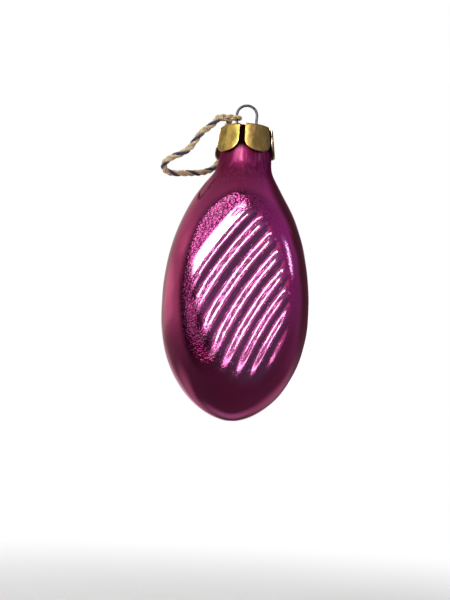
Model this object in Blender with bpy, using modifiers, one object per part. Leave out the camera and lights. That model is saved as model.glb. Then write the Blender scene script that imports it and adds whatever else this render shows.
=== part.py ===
"""Blown-glass drop ornament: a fluted glass, a stamped petal cap, a sprung wire hanger and a loop of twine.

Metres, +Z up. The origin is the hanging point, under the top of the wire eye, and the fluted face looks
along -Y. The neck, the cap and the eye share the Z axis.
"""
import math

import bmesh
import bpy
from mathutils import Vector

MM = 0.001

# Fits between pieces
SEAT_GAP = 0.3 * MM             # between two pieces that touch
SLOT_CLEARANCE = 0.3 * MM       # round a wire leg in its slot

# Hanger wire
WIRE_DIAMETER = 0.6 * MM
EYE_WIDTH = 5.2 * MM            # outside the eye
EYE_HEIGHT = 6.1 * MM           # top of the eye above the cap
LEG_LENGTH = 16.0 * MM          # below the top of the cap
LEG_SPREAD_DROP = 8.0 * MM      # below the top of the cap, where a leg reaches the neck's wall
LEG_TOE_IN = 0.6 * MM           # how far a tip turns back in
LEG_TOE_LENGTH = 2.5 * MM

# Cap
CAP_SHEET = 0.3 * MM
CAP_FOLD = 0.6 * MM             # outside radius of the folded edge
PETAL_LENGTH = 6.4 * MM         # from the top of the cap to a petal's tip
PETAL_STRAIGHT = 3.7 * MM       # from the top of the cap to the start of a petal's round end
PETAL_GAP = 1.3 * MM            # between two petals
PETAL_SPLAYS = [math.radians(angle) for angle in (6.0, 6.5, 8.0, 9.0, 6.0)]
FIRST_GAP_TURN = math.radians(-99.0)

# Glass body
NECK_RADIUS = 5.55 * MM         # outside, at the rim
NECK_TAPER = math.radians(4.0)
GLASS_WALL = 0.9 * MM
GLASS_LENGTH = 66.0 * MM        # rim to tip
BELLY_DROP = 40.65 * MM         # rim to the widest place
BELLY_HALF_WIDTH = 16.5 * MM
BELLY_HALF_DEPTH = 16.0 * MM    # before the panels are pressed in
SHOULDER_RISE = 31.7 * MM       # height at which the belly's upper curve would close
SHOULDER_BLEND = 5.0 * MM       # fillet between the shoulder and the neck
TIP_FULLNESS = 2.25             # exponents of the belly's lower curve
TIP_ROUNDNESS = 0.57
BELLY_LEAN = -0.85 * MM         # sideways set of the belly against the neck
LEAN_START = 6.0 * MM           # below the rim
LEAN_END = 16.0 * MM

# Pressed panel and its flutes, the same on the back when the body is turned half round
PANEL_DROP = 38.6 * MM          # rim to the middle of the panel
PANEL_HALF_WIDTH = 12.8 * MM
PANEL_HALF_HEIGHT = 22.2 * MM
PANEL_PRESS = 4.4 * MM
PANEL_SOFTNESS = (1.35, 1.5)    # exponents by which the press dies away at the panel's left and right edges
PRESS_LIMIT = 0.5               # largest share of the half depth that a press takes, near the tip
FLUTE_DROP = 38.1 * MM          # rim to the middle of the flutes' oval
FLUTE_LEAN = -0.3 * MM          # sideways set of the oval
FLUTE_HALF_WIDTH = 10.4 * MM
FLUTE_HALF_HEIGHT = 20.3 * MM
FLUTE_TILT = math.radians(8.5)
FLUTE_FADE = (0.86, 1.08)       # shares of the oval between which a flute dies away
FLUTE_HEIGHT = 0.205            # valley to crest, as a share of the flute's pitch
FLUTE_PITCH = 4.41 * MM         # at the first flute
FLUTE_PITCH_STEP = 0.27 * MM    # by which each next flute is narrower
FLUTE_ARC_X = 65.8 * MM         # centre of the flutes' arcs
FLUTE_ARC_DROP = 79.25 * MM
FLUTE_FIRST_RADIUS = 88.25 * MM
FIRST_SHIFT = 0.14              # share of its pitch by which the first flute's crest comes late
FIRST_FADE = (0.25, 0.85)       # places along the first flute between which that shift dies away
FIRST_SLOWNESS = 0.36           # share of the usual steepness on the first flute's outer flank
FIRST_FLOOR = -0.12             # place on the wave where that flank comes down to level ground

# Twine
TWINE_DIAMETER = 1.4 * MM
KNOT_DROP = 2.75 * MM           # below the hanging point
KNOT_LENGTH = 3.0 * MM
KNOT_DEPTH = 2.6 * MM
KNOT_HEIGHT = 1.9 * MM
TWINE_SPACING = 2.4 * MM        # between the points of the loop's tube
TWINE_LEAVES = (-0.75, -0.3, -0.6)      # directions in which the loop's two ends meet the knot
TWINE_RETURNS = (0.0, 0.98, -0.2)
# Free points of the loop in millimetres, from the knot's place on its leg of the eye
TWINE_ROUTE = (
    (-5.2, -0.85, -1.7), (-6.3, -1.0, -2.75), (-7.9, -1.2, -4.1), (-9.4, -1.3, -6.4), (-10.8, -1.3, -8.2),
    (-12.5, -1.2, -9.35), (-14.3, -0.9, -10.1), (-15.7, -0.1, -10.85), (-16.3, 1.3, -11.65),
    (-15.8, 2.8, -12.35), (-14.3, 3.9, -12.6), (-12.3, 4.6, -12.4), (-9.9, 5.6, -11.95), (-7.3, 7.2, -11.25),
    (-4.9, 8.6, -9.65), (-3.4, 9.2, -7.05), (-2.9, 8.5, -4.15), (-2.8, 6.7, -1.85), (-2.5, 4.7, -0.75),
)

# Counts of facets
GLASS_STEPS = 64
GLASS_ROWS = (34, 26)           # above and below the widest place
GLASS_CROWDING = 0.3            # share by which columns crowd to the front and the back
HOLLOW_STEPS = 32
HOLLOW_ROWS = (14, 11)
PETAL_COUNT = 5
PETAL_COLUMNS = 10
PETAL_ROWS = 4
FOLD_ROWS = 3
EYE_ROWS = 14
WIRE_ROUNDNESS = 2
ROUTE_FINENESS = 16             # steps in which a stretch between two points of a route is measured
HITCH_FACETS = (20, 10)
LUMP_FACETS = (18, 10)
MERGE = 0.001 * MM

# Places that follow from the sizes above
EYE_RADIUS = (EYE_WIDTH - WIRE_DIAMETER) / 2
CAP_TOP = WIRE_DIAMETER - EYE_HEIGHT
RIM = CAP_TOP - CAP_SHEET - SEAT_GAP
CAP_RADIUS = NECK_RADIUS + SEAT_GAP + CAP_SHEET
NECK_BORE = NECK_RADIUS - GLASS_WALL
HITCH_RADIUS = WIRE_DIAMETER / 2 + SEAT_GAP + TWINE_DIAMETER / 2
LEG_REACH = NECK_BORE - SEAT_GAP - WIRE_DIAMETER / 2


def remove_everything():
    for thing in list(bpy.data.objects):
        bpy.data.objects.remove(thing)


def new_collection(name):
    collection = bpy.data.collections.new(name)
    bpy.context.scene.collection.children.link(collection)
    return collection


def finish(name, colour, roughness, metallic):
    material = bpy.data.materials.new(name)
    material.use_nodes = True
    shader = material.node_tree.nodes["Principled BSDF"]
    shader.inputs["Base Color"].default_value = (*colour, 1.0)
    shader.inputs["Roughness"].default_value = roughness
    shader.inputs["Metallic"].default_value = metallic
    return material


def place(name, data, collection, location, parent=None, material=None):
    piece = bpy.data.objects.new(name, data)
    collection.objects.link(piece)
    piece.location = location
    piece.parent = parent
    if material:
        data.materials.append(material)
    return piece


def take_mesh(size):
    """Mesh of the primitive that was added last, stretched to a size."""
    primitive = bpy.context.object
    mesh = primitive.data
    bpy.data.objects.remove(primitive)
    for vertex in mesh.vertices:
        vertex.co = vertex.co * Vector(size)
    return mesh


def cut(piece, tool, operation="DIFFERENCE"):
    tool.hide_render = True
    tool.display_type = "WIRE"
    boolean = piece.modifiers.new(tool.name, "BOOLEAN")
    boolean.operation = operation
    boolean.object = tool


def turned_mesh(name, profile, steps):
    """Mesh of a profile, given from the axis at its top to its lower end, turned about Z."""
    points = [(radius, 0, z) for radius, z in profile]
    edges = [(number, number + 1) for number in range(len(profile) - 1)]
    outline = bpy.data.meshes.new(name)
    outline.from_pydata(points, edges, [])
    blank = place(name, outline, bpy.context.scene.collection, (0, 0, 0))
    turn = blank.modifiers.new("turn", "SCREW")
    turn.steps = steps
    turn.render_steps = steps
    turn.use_merge_vertices = True
    turn.merge_threshold = MERGE
    mesh = bpy.data.meshes.new_from_object(blank.evaluated_get(bpy.context.evaluated_depsgraph_get()))
    bpy.data.objects.remove(blank)
    mesh.name = name
    mesh.shade_smooth()
    return mesh


def smooth_step(start, end, value):
    share = min(max((value - start) / (end - start), 0.0), 1.0)
    return share * share * (3 - 2 * share)


def smooth_max(first, second, reach):
    """Larger of two lengths, rounded over where they come within reach of each other."""
    closeness = max(reach - abs(first - second), 0.0) / reach
    return max(first, second) + closeness * closeness * reach / 4


def half_span(drop, belly_half, inset):
    """Half of the body's width or depth at a drop below the rim, drawn in by an inset."""
    belly = belly_half - inset
    if drop > BELLY_DROP:
        fall = (drop - BELLY_DROP) / (GLASS_LENGTH - BELLY_DROP - inset)
        return belly * max(1 - fall ** TIP_FULLNESS, 0.0) ** TIP_ROUNDNESS
    rise = (BELLY_DROP - drop) / (SHOULDER_RISE - inset)
    dome = belly * math.sqrt(max(1 - rise * rise, 0.0))
    neck = NECK_RADIUS + drop * math.tan(NECK_TAPER) - inset
    return smooth_max(dome, neck, SHOULDER_BLEND)


def press_depth(x, drop):
    """How far the oval panel is pressed in."""
    room = 1 - (x / PANEL_HALF_WIDTH) ** 2 - ((drop - PANEL_DROP) / PANEL_HALF_HEIGHT) ** 2
    left, right = PANEL_SOFTNESS
    softness = left + (right - left) * smooth_step(-PANEL_HALF_WIDTH / 2, PANEL_HALF_WIDTH / 2, x)
    return PANEL_PRESS * max(room, 0.0) ** softness


def flute_height(x, drop):
    """Height of the flutes, which follow arcs about one far centre and die away at the edge of their oval."""
    rise = FLUTE_DROP - drop
    aside = x - FLUTE_LEAN
    across = (aside * math.cos(FLUTE_TILT) + rise * math.sin(FLUTE_TILT)) / FLUTE_HALF_WIDTH
    along = (rise * math.cos(FLUTE_TILT) - aside * math.sin(FLUTE_TILT)) / FLUTE_HALF_HEIGHT
    strength = 1 - smooth_step(*FLUTE_FADE, math.hypot(across, along))
    inward = FLUTE_FIRST_RADIUS - math.hypot(x - FLUTE_ARC_X, drop - FLUTE_ARC_DROP)
    root = math.sqrt(max(FLUTE_PITCH ** 2 - 2 * FLUTE_PITCH_STEP * inward, 0.0))
    count = (FLUTE_PITCH - root) / FLUTE_PITCH_STEP
    count -= FIRST_SHIFT * (1 - smooth_step(*FIRST_FADE, count))
    if count < 0:
        count = max(count * FIRST_SLOWNESS, FIRST_FLOOR)
    pitch = FLUTE_PITCH - FLUTE_PITCH_STEP * max(count, 0.0)
    return FLUTE_HEIGHT / 2 * pitch * strength * math.sin(math.tau * count)


def glass_mesh(name, steps, rows, inset, top, fluted):
    """Glass body, or its hollow when drawn in by an inset, with its rim at the origin."""
    upper, lower = rows
    drops = [top + (BELLY_DROP - top) * row / upper for row in range(upper)]
    fall = GLASS_LENGTH - BELLY_DROP - inset
    drops += [BELLY_DROP + fall * math.sin(math.pi / 2 * row / lower) for row in range(lower)]
    profile = [(0, -top)]
    profile += [(half_span(drop, BELLY_HALF_WIDTH, inset), -drop) for drop in drops]
    profile += [(0, -(BELLY_DROP + fall))]
    mesh = turned_mesh(name, profile, steps)
    for vertex in mesh.vertices:
        drop = -vertex.co.z
        if math.hypot(vertex.co.x, vertex.co.y) < MERGE:
            angle, width, depth = 0.0, 0.0, 0.0
        else:
            angle = math.atan2(vertex.co.y, vertex.co.x)
            angle += GLASS_CROWDING * math.sin(2 * angle)
            width = half_span(drop, BELLY_HALF_WIDTH, inset)
            depth = half_span(drop, BELLY_HALF_DEPTH, inset)
        x = width * math.cos(angle) + BELLY_LEAN * smooth_step(LEAN_START, LEAN_END, drop)
        y = depth * math.sin(angle)
        side = 1 if y > 0 else -1
        relief = -press_depth(-side * x, drop)
        if fluted:
            relief += flute_height(-side * x, drop)
        vertex.co.x = x
        vertex.co.y = y + side * max(relief, -PRESS_LIMIT * abs(y))
    return mesh


def make_glass(collection, cutters, cap):
    mesh = glass_mesh("glass_body", GLASS_STEPS, GLASS_ROWS, 0.0, 0.0, True)
    lacquer = finish("magenta_lacquer", (0.23, 0.008, 0.10), 0.12, 1.0)
    glass = place("glass_body", mesh, collection, (0, 0, RIM - CAP_TOP), cap, lacquer)
    facets = glass.modifiers.new("facets along the flutes", "TRIANGULATE")
    facets.quad_method = "FIXED_ALTERNATE"
    hollow_mesh = glass_mesh("glass_hollow", HOLLOW_STEPS, HOLLOW_ROWS, GLASS_WALL, -GLASS_WALL, False)
    hollow = place("glass_hollow", hollow_mesh, cutters, (0, 0, 0), glass)
    cut(glass, hollow)
    return glass


def shape_petals(mesh):
    """Open a gap between each two petals, then draw each petal to its outline and bend it outwards."""
    columns = PETAL_COLUMNS + 1
    column_angle = math.tau / (PETAL_COUNT * columns)
    pitch = math.tau / PETAL_COUNT
    gap_angle = PETAL_GAP / CAP_RADIUS
    flat_radius = CAP_RADIUS - CAP_FOLD
    skirt = PETAL_LENGTH - CAP_FOLD
    sheet = bmesh.new()
    sheet.from_mesh(mesh)
    gaps = []
    for face in sheet.faces:
        middle = face.calc_center_median()
        column = int(math.atan2(middle.y, middle.x) % math.tau / column_angle) % columns
        if column == PETAL_COLUMNS and middle.z < -MERGE:
            gaps.append(face)
    bmesh.ops.delete(sheet, geom=gaps, context="FACES")
    for vertex in sheet.verts:
        radius = math.hypot(vertex.co.x, vertex.co.y)
        if radius < flat_radius - MERGE:
            continue
        petal, column = divmod(round(math.atan2(vertex.co.y, vertex.co.x) % math.tau / column_angle), columns)
        petal %= PETAL_COUNT
        across = -math.cos(math.pi * column / PETAL_COLUMNS)
        angle = FIRST_GAP_TURN + petal * pitch + gap_angle / 2 + (pitch - gap_angle) * (1 + across) / 2
        down = max(-vertex.co.z - CAP_FOLD, 0.0) / skirt
        round_end = (PETAL_LENGTH - PETAL_STRAIGHT) * math.sqrt(max(1 - across * across, 0.0))
        drop = down * (PETAL_STRAIGHT - CAP_FOLD + round_end)
        radius += drop * math.tan(PETAL_SPLAYS[petal])
        height = max(vertex.co.z, -CAP_FOLD) - drop
        vertex.co = (radius * math.cos(angle), radius * math.sin(angle), height)
    sheet.to_mesh(mesh)
    sheet.free()


def make_cap(collection, cutters, hanger):
    flat_radius = CAP_RADIUS - CAP_FOLD
    skirt = PETAL_LENGTH - CAP_FOLD
    profile = [(0, 0), (flat_radius, 0)]
    for row in range(1, FOLD_ROWS + 1):
        bend = math.pi / 2 * row / FOLD_ROWS
        profile.append((flat_radius + CAP_FOLD * math.sin(bend), CAP_FOLD * (math.cos(bend) - 1)))
    profile += [(CAP_RADIUS, -CAP_FOLD - skirt * row / PETAL_ROWS) for row in range(1, PETAL_ROWS + 1)]
    mesh = turned_mesh("cap", profile, PETAL_COUNT * (PETAL_COLUMNS + 1))
    shape_petals(mesh)
    brass = finish("stamped_brass", (0.55, 0.36, 0.09), 0.3, 1.0)
    cap = place("cap", mesh, collection, (0, 0, CAP_TOP), hanger, brass)
    thickness = cap.modifiers.new("sheet", "SOLIDIFY")
    thickness.thickness = CAP_SHEET
    thickness.offset = -1.0
    thickness.use_even_offset = True
    wire_room = WIRE_DIAMETER / 2 + SLOT_CLEARANCE
    inner = EYE_RADIUS - wire_room
    outer = LEG_REACH + wire_room
    for side, name in ((-1, "left_leg_slot"), (1, "right_leg_slot")):
        bpy.ops.mesh.primitive_cube_add(size=1)
        mesh = take_mesh((outer - inner, 2 * wire_room, 2 * CAP_FOLD))
        slot = place(name, mesh, cutters, (side * (inner + outer) / 2, 0, 0), cap)
        cut(cap, slot)
    return cap


def wire_curve(name, points, diameter, roundness):
    curve = bpy.data.curves.new(name, "CURVE")
    curve.dimensions = "3D"
    curve.bevel_depth = diameter / 2
    curve.bevel_resolution = roundness
    curve.use_fill_caps = True
    spline = curve.splines.new("POLY")
    spline.points.add(len(points) - 1)
    for slot, point in zip(spline.points, points):
        slot.co = (*point, 1.0)
        slot.radius = 1.0
    return curve


def make_hanger(collection):
    """One wire: an eye, two legs through the cap, spread to bear on the neck, with their tips turned in."""
    spread = CAP_TOP - LEG_SPREAD_DROP
    tip = CAP_TOP - LEG_LENGTH
    leg = [(LEG_REACH - LEG_TOE_IN, tip), (LEG_REACH, tip + LEG_TOE_LENGTH), (LEG_REACH, spread)]
    leg.append((EYE_RADIUS, CAP_TOP - CAP_SHEET))
    arch_height = WIRE_DIAMETER / 2 - EYE_RADIUS
    arch = []
    for row in range(EYE_ROWS + 1):
        turn = math.pi * row / EYE_ROWS
        arch.append((EYE_RADIUS * math.cos(turn), 0, arch_height + EYE_RADIUS * math.sin(turn)))
    points = [(x, 0, z) for x, z in leg] + arch + [(-x, 0, z) for x, z in reversed(leg)]
    curve = wire_curve("hanger_wire", points, WIRE_DIAMETER, WIRE_ROUNDNESS)
    steel = finish("spring_steel", (0.22, 0.22, 0.21), 0.35, 1.0)
    return place("hanger_wire", curve, collection, (0, 0, 0), None, steel)


def smooth_points(route, spacing):
    """Points about a spacing apart on a smooth curve through the points of a route."""
    fine = []
    shares = [step / ROUTE_FINENESS for step in range(ROUTE_FINENESS)]
    for number in range(len(route) - 1):
        start, end = route[number], route[number + 1]
        before = route[max(number - 1, 0)]
        after = route[min(number + 2, len(route) - 1)]
        leave, arrive = (end - before) / 2, (after - start) / 2
        for t in shares:
            blend = t * t * (3 - 2 * t)
            bend = leave * (t * (1 - t) ** 2) - arrive * (t * t * (1 - t))
            fine.append(start + (end - start) * blend + bend)
    fine.append(route[-1])
    reach = [0.0]
    for first, second in zip(fine, fine[1:]):
        reach.append(reach[-1] + (second - first).length)
    count = round(reach[-1] / spacing)
    points = []
    number = 0
    for step in range(count + 1):
        goal = reach[-1] * step / count
        while reach[number + 1] < goal and number < len(fine) - 2:
            number += 1
        part = (goal - reach[number]) / (reach[number + 1] - reach[number])
        points.append(fine[number].lerp(fine[number + 1], part))
    return points


def knot_face(direction):
    """Point a seat gap off the knot's lump, on the side where the lump faces a direction."""
    facing = Vector(direction).normalized()
    half = Vector((KNOT_LENGTH, KNOT_DEPTH, KNOT_HEIGHT)) / 2
    surface = half * half * facing / (half * facing).length
    return Vector((-HITCH_RADIUS - KNOT_LENGTH / 2, 0, 0)) + surface + facing * SEAT_GAP


def make_knot(collection, cutters, hanger, twine):
    """Hitch round the left leg of the eye, drawn up into a lump."""
    around, across = HITCH_FACETS
    bpy.ops.mesh.primitive_torus_add(
        major_radius=HITCH_RADIUS, minor_radius=TWINE_DIAMETER / 2,
        major_segments=around, minor_segments=across)
    mesh = take_mesh((1, 1, 1))
    mesh.shade_smooth()
    knot = place("twine_knot", mesh, collection, (-EYE_RADIUS, 0, -KNOT_DROP), hanger, twine)
    around, across = LUMP_FACETS
    bpy.ops.mesh.primitive_uv_sphere_add(segments=around, ring_count=across, radius=0.5)
    lump_mesh = take_mesh((KNOT_LENGTH, KNOT_DEPTH, KNOT_HEIGHT))
    lump = place("knot_lump", lump_mesh, cutters, (-HITCH_RADIUS - KNOT_LENGTH / 2, 0, 0), knot)
    cut(knot, lump, "UNION")
    return knot


def make_loop(collection, hanger, twine):
    """Free loop of twine, from the knot's outer side round to the knot's back."""
    free = [Vector(point) * MM for point in TWINE_ROUTE]
    route = [knot_face(TWINE_LEAVES)] + free + [knot_face(TWINE_RETURNS)]
    curve = wire_curve("twine_loop", smooth_points(route, TWINE_SPACING), TWINE_DIAMETER, WIRE_ROUNDNESS)
    return place("twine_loop", curve, collection, (-EYE_RADIUS, 0, -KNOT_DROP), hanger, twine)


def build():
    remove_everything()
    ornament = new_collection("drop_ornament")
    cutters = new_collection("cutters")
    hanger = make_hanger(ornament)
    cap = make_cap(ornament, cutters, hanger)
    make_glass(ornament, cutters, cap)
    twine = finish("twisted_twine", (0.55, 0.40, 0.22), 0.9, 0.0)
    make_knot(ornament, cutters, hanger, twine)
    make_loop(ornament, hanger, twine)


build()
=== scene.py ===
"""Looks of a blown-glass drop ornament: silvered magenta glass, a stamped brass cap, a wire eye and twine.

Metres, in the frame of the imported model: the hanging point is the origin, +Z is up along the neck, and the
fluted face looks along -Y. On the glass, a drop is a distance below its rim.
"""
import math

import bpy
import numpy as np
from mathutils import Matrix, Vector


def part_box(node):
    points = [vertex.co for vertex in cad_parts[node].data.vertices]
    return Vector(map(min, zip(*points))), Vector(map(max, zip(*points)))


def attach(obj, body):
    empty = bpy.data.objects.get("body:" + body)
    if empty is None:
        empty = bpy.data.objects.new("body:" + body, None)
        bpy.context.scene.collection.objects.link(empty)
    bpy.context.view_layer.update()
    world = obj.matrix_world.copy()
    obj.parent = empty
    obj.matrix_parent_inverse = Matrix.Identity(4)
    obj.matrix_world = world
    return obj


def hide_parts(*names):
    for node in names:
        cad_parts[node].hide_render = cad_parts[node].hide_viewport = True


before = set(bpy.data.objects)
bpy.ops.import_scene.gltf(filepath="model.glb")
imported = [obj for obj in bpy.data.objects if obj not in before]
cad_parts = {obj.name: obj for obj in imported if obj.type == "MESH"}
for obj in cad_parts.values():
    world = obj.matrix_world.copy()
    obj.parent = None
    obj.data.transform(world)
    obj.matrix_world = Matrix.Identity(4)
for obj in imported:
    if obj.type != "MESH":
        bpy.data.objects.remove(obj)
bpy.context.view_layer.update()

MM = 0.001
GLASS_LOW, GLASS_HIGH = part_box("glass_body")
CAP_LOW, CAP_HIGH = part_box("cap")
WIRE_LOW, WIRE_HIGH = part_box("hanger_wire")

# Camera: the view that the photograph has, in its frame of 450 by 600 pixels
FRAME_HEIGHT = 600
FOCAL_PIXELS = 1068
SENSOR = 36.0
CAMERA_PITCH = math.radians(7.7)        # looking up
CAMERA_ROLL = math.radians(2.5)
CAMERA_DISTANCE = 240 * MM
CAMERA_AIM = Vector((-3.2, 0, -45.05)) * MM
NEAREST_SEEN = 10 * MM

# Glass body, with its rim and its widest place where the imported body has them
RIM = GLASS_HIGH.z
GLASS_LENGTH = GLASS_HIGH.z - GLASS_LOW.z
BELLY_HALF_WIDTH = (GLASS_HIGH.x - GLASS_LOW.x) / 2
BELLY_LEAN = (GLASS_HIGH.x + GLASS_LOW.x) / 2
BELLY_HALF_DEPTH = 16.0 * MM
BELLY_DROP = 40.65 * MM
LEAN_DROPS = (6.0 * MM, 16.0 * MM)      # over which the bulb moves off the neck's axis
NECK_RADIUS = 5.55 * MM
NECK_TAPER = math.radians(4.0)
GLASS_WALL = 0.9 * MM
SHOULDER_RISE = 31.7 * MM
SHOULDER_BLEND = 5.0 * MM
SHOULDER_EASE = 1.5 * MM                # up and down, over which the profile is evened out
EASE_FADE = (14.0 * MM, 24.0 * MM)      # drops over which that ease dies away
EASE_SAMPLES = 9
TIP_FULLNESS = 2.25
TIP_ROUNDNESS = 0.57
PANEL_DROP = 38.6 * MM
PANEL_HALF_WIDTH = 12.8 * MM
PANEL_HALF_HEIGHT = 22.2 * MM
PANEL_PRESS = 4.4 * MM
PANEL_SOFTNESS = (1.35, 1.5)            # at its left and right edges
GLASS_COLUMNS = 400
GLASS_ROWS = 330
INNER_ROWS = 60
RIM_ROWS = 8
COLUMN_CROWDING = 0.25                  # towards the two faces
ROW_CROWDING = 1.15                     # towards the tip
BLOWN_WAVES = 9                         # slow waves of the blown surface
BLOWN_HEIGHT = 0.035 * MM
BLOWN_LENGTHS = (5.0 * MM, 14.0 * MM)
BLOWN_SEED = 5

# Flutes: arcs round one centre, counted from the first one towards it, in an oval on each face
FLUTE_DROP = 38.1 * MM
FLUTE_LEAN = -0.3 * MM
FLUTE_HALF_WIDTH = 10.4 * MM
FLUTE_HALF_HEIGHT = 20.3 * MM
FLUTE_TILT = math.radians(8.5)
FLUTE_FADE = (0.86, 1.08)               # of the oval
FLUTE_HEIGHT = 0.205                    # of the flute's own pitch
FLUTE_PITCH = 4.41 * MM
FLUTE_PITCH_STEP = 0.27 * MM            # by which it falls from one flute to the next
FLUTE_ARC_X = 65.8 * MM
FLUTE_ARC_DROP = 79.25 * MM
FLUTE_FIRST_RADIUS = 88.25 * MM
FIRST_SHIFT = 0.14                      # of a flute, by which the first crest comes late
FIRST_FADE = (0.25, 0.85)               # flutes over which that shift dies away
FIRST_SLOWNESS = 0.36                   # of the first flute's outer flank
FIRST_FLOOR = -0.165                    # flutes before the first, at that flank's foot
LAST_FLUTES = (4.6, 5.4)                # over which they grow higher
LAST_GAIN = 0.3
LOW_END_LENGTH = 12.0 * MM              # over which the fade changes towards the lower left
LOW_END_SLOPE = 0.6
LOW_FADE = (0.60, 1.12)                 # of the oval, at the lower left

# Marks on the glass. A pair is where a mark sets in and is full, or where it starts to fade and is gone
GLASS_MARKS = ("grain", "fluted", "ridge", "flute_count", "flute_way")
LEFT_SIDE = (10.0 * MM, -5.0 * MM)
GRAIN_UPPER_RING = (0.86, 1.0)          # of the flutes' oval
GRAIN_LOWER_RING = (0.72, 0.95)
GRAIN_UPPER_DROPS = (41.0 * MM, 35.0 * MM)
GRAIN_OUTSIDE = (-0.30, -0.45)          # flutes before the first
GRAIN_OUTSIDE_REACH = (0.5, 0.7)        # of the flutes' oval
GRAIN_EDGE = (0.97, 1.08)               # of the panel, where it fades
GRAIN_FOOT = (49.0 * MM, 59.0 * MM)     # drops over which it fades
GRAIN_AT_RIGHT = 0.2                    # of the grain at the left
# Band along the panel's right edge that is painted paler as a highlight
RIDGE_INNER = (0.84, 0.87)              # of the panel
RIDGE_OUTER = (0.91, 0.94)              # of the panel, where it fades
RIDGE_HEAD = (25.0 * MM, 28.0 * MM)
RIDGE_FOOT = (35.5 * MM, 32.5 * MM)
# Drops over which the grain's painted shade turns paler towards the top, as painted light
GRAIN_LIGHT_DROPS = (40.0 * MM, 28.0 * MM)
NECK_DROPS = (17.0 * MM, 8.0 * MM)
# Band of the neck under the cap: unsilvered, and painted near black as the petals' shade
BARE_SHADE_DROPS = (5.9 * MM, 4.1 * MM)
SCORES_ACROSS = 7.0                     # to one flute
SCORES_ALONG = 0.16                     # to a millimetre
LACQUER_RELIEF = 0.16 * MM

# Hanger wire
WIRE_RADIUS = WIRE_HIGH.y
EYE_RADIUS = 2.3 * MM
LEG_REACH = WIRE_HIGH.x - WIRE_RADIUS
LEG_TIP = WIRE_LOW.z
LEG_TOE_IN = 0.6 * MM
LEG_TOE_LENGTH = 2.5 * MM
LEG_SPREAD_DROP = 8.0 * MM              # below the cap's top
LEG_EASE = 0.12 * MM                    # of the bend at the widest place
EYE_EASE = 0.08 * MM                    # of the bend at the foot of the eye
WIRE_SIDES = 14
WIRE_STEP = 0.12 * MM
WIRE_SHARP = math.radians(60)
EYE_ROWS = 40

# Cap
CAP_TOP = CAP_HIGH.z
CAP_RADIUS = 6.15 * MM
CAP_SHEET = 0.3 * MM
CAP_FOLD = 0.6 * MM
PETAL_COUNT = 5
PETAL_LENGTH = CAP_HIGH.z - CAP_LOW.z
PETAL_STRAIGHT = 3.7 * MM
PETAL_ROUNDNESS = 2.3
PETAL_GAP = 1.3 * MM
PETAL_SPLAYS = [math.radians(angle) for angle in (6.0, 6.5, 8.0, 9.0, 6.0)]
FIRST_GAP_TURN = math.radians(-99.0)
PETAL_COLUMNS = 28
PETAL_ROWS = 14
FOLD_ROWS = 6
DISC_ROWS = 6
CAP_ROWS = DISC_ROWS + FOLD_ROWS + PETAL_ROWS
SLOT_CLEARANCE = 0.3 * MM
EDGE_ROUND = 0.13 * MM
EDGE_SEGMENTS = 2
EDGE_ANGLE = math.radians(60)
CAP_SHARP = math.radians(50)
DENT_DEPTH = 0.07 * MM
DENT_SEED = 3
DENT_WAVES = (3.1, 2.6)                 # radians across half a petal and down it
SHADED_SIDE = (0.0, 4.0)                  # millimetres to the right over which painted shade darkens the brass

# Twine, along the route of the imported loop
TWINE_DIAMETER = 1.4 * MM
TWINE_FULLNESS = 1.05                   # of the yarns past that diameter
TWIST_PITCH = 5.3 * MM
YARN_COUNT = 3
YARN_SHARE = 0.55                       # of the twine's radius
YARN_SIDES = 9
YARN_STEP = 0.16 * MM
YARN_SWELLS = ((0.05, 2.3, 2.1), (0.04, 6.1, 1.0))    # share, radians to a millimetre and to the next yarn
HITCH_DIAMETER = 0.9 * MM
HITCH_PITCH = 2.6 * MM
HITCH_SPAN = (-4.2 * MM, -0.4 * MM)     # from the loop to the wire
HITCH_LAY = 0.42 * MM                   # radius at which its two strands lie round each other
HITCH_TURNS = 1.125
HITCH_OPENING = 4                       # power by which the strands part late, close to the wire
HITCH_ROWS = 14
WRAP_RADIUS = 0.80 * MM                 # round the wire
WRAP_ROWS = 9
FUZZ_COUNT = 240
FUZZ_SEED = 11
FUZZ_LENGTHS = (0.35 * MM, 1.0 * MM)
FUZZ_LIFTS = (0.15, 0.55)               # of a hair's length
FUZZ_BEND = 1.6                         # power by which a hair lifts
FUZZ_CURL = 0.3                         # of a hair's length, to either side
FUZZ_ROOT = 0.45                        # of the twine's diameter
FUZZ_RADII = (0.018 * MM, 0.008 * MM)
FUZZ_ROWS = 6
FUZZ_SIDES = 3
FUZZ_MARGIN = 4                         # points of the twine at each end that have none
KNOT_PLACE = Vector((-2.3, 0, -2.75)) * MM
# Points in millimetres from the knot's place on its leg of the eye
TWINE_ROUTE = (
    (-3.4, -0.25, -0.2), (-4.3, -0.45, -0.5),
    (-5.2, -0.85, -1.7), (-6.3, -1.0, -2.75), (-7.9, -1.2, -4.1), (-9.4, -1.3, -6.4), (-10.8, -1.3, -8.2),
    (-12.5, -1.2, -9.35), (-14.3, -0.9, -10.1), (-15.7, -0.1, -10.85), (-16.3, 1.3, -11.65),
    (-15.8, 2.8, -12.35), (-14.3, 3.9, -12.6), (-12.3, 4.6, -12.4), (-9.9, 5.6, -11.95),
    (-7.3, 7.2, -11.25), (-4.9, 8.6, -9.65), (-3.4, 9.2, -7.05), (-2.9, 8.5, -4.15), (-2.8, 6.7, -1.85),
    (-2.1, 4.7, -0.6), (-1.7, 2.6, 0.0), (-1.7, 1.2, 0.15),
)
HITCH_END = ((-4.6, 0.7, 0.25), (-4.3, 1.2, 0.05), (-3.2, 1.4, 0.0), (-2.0, 1.5, 0.1))

# Lines
LINE_STEPS = 24                         # between two given points of a smooth line
OFF_LINE = (0.31, 0.22, 0.93)           # a direction that no line starts along

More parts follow.
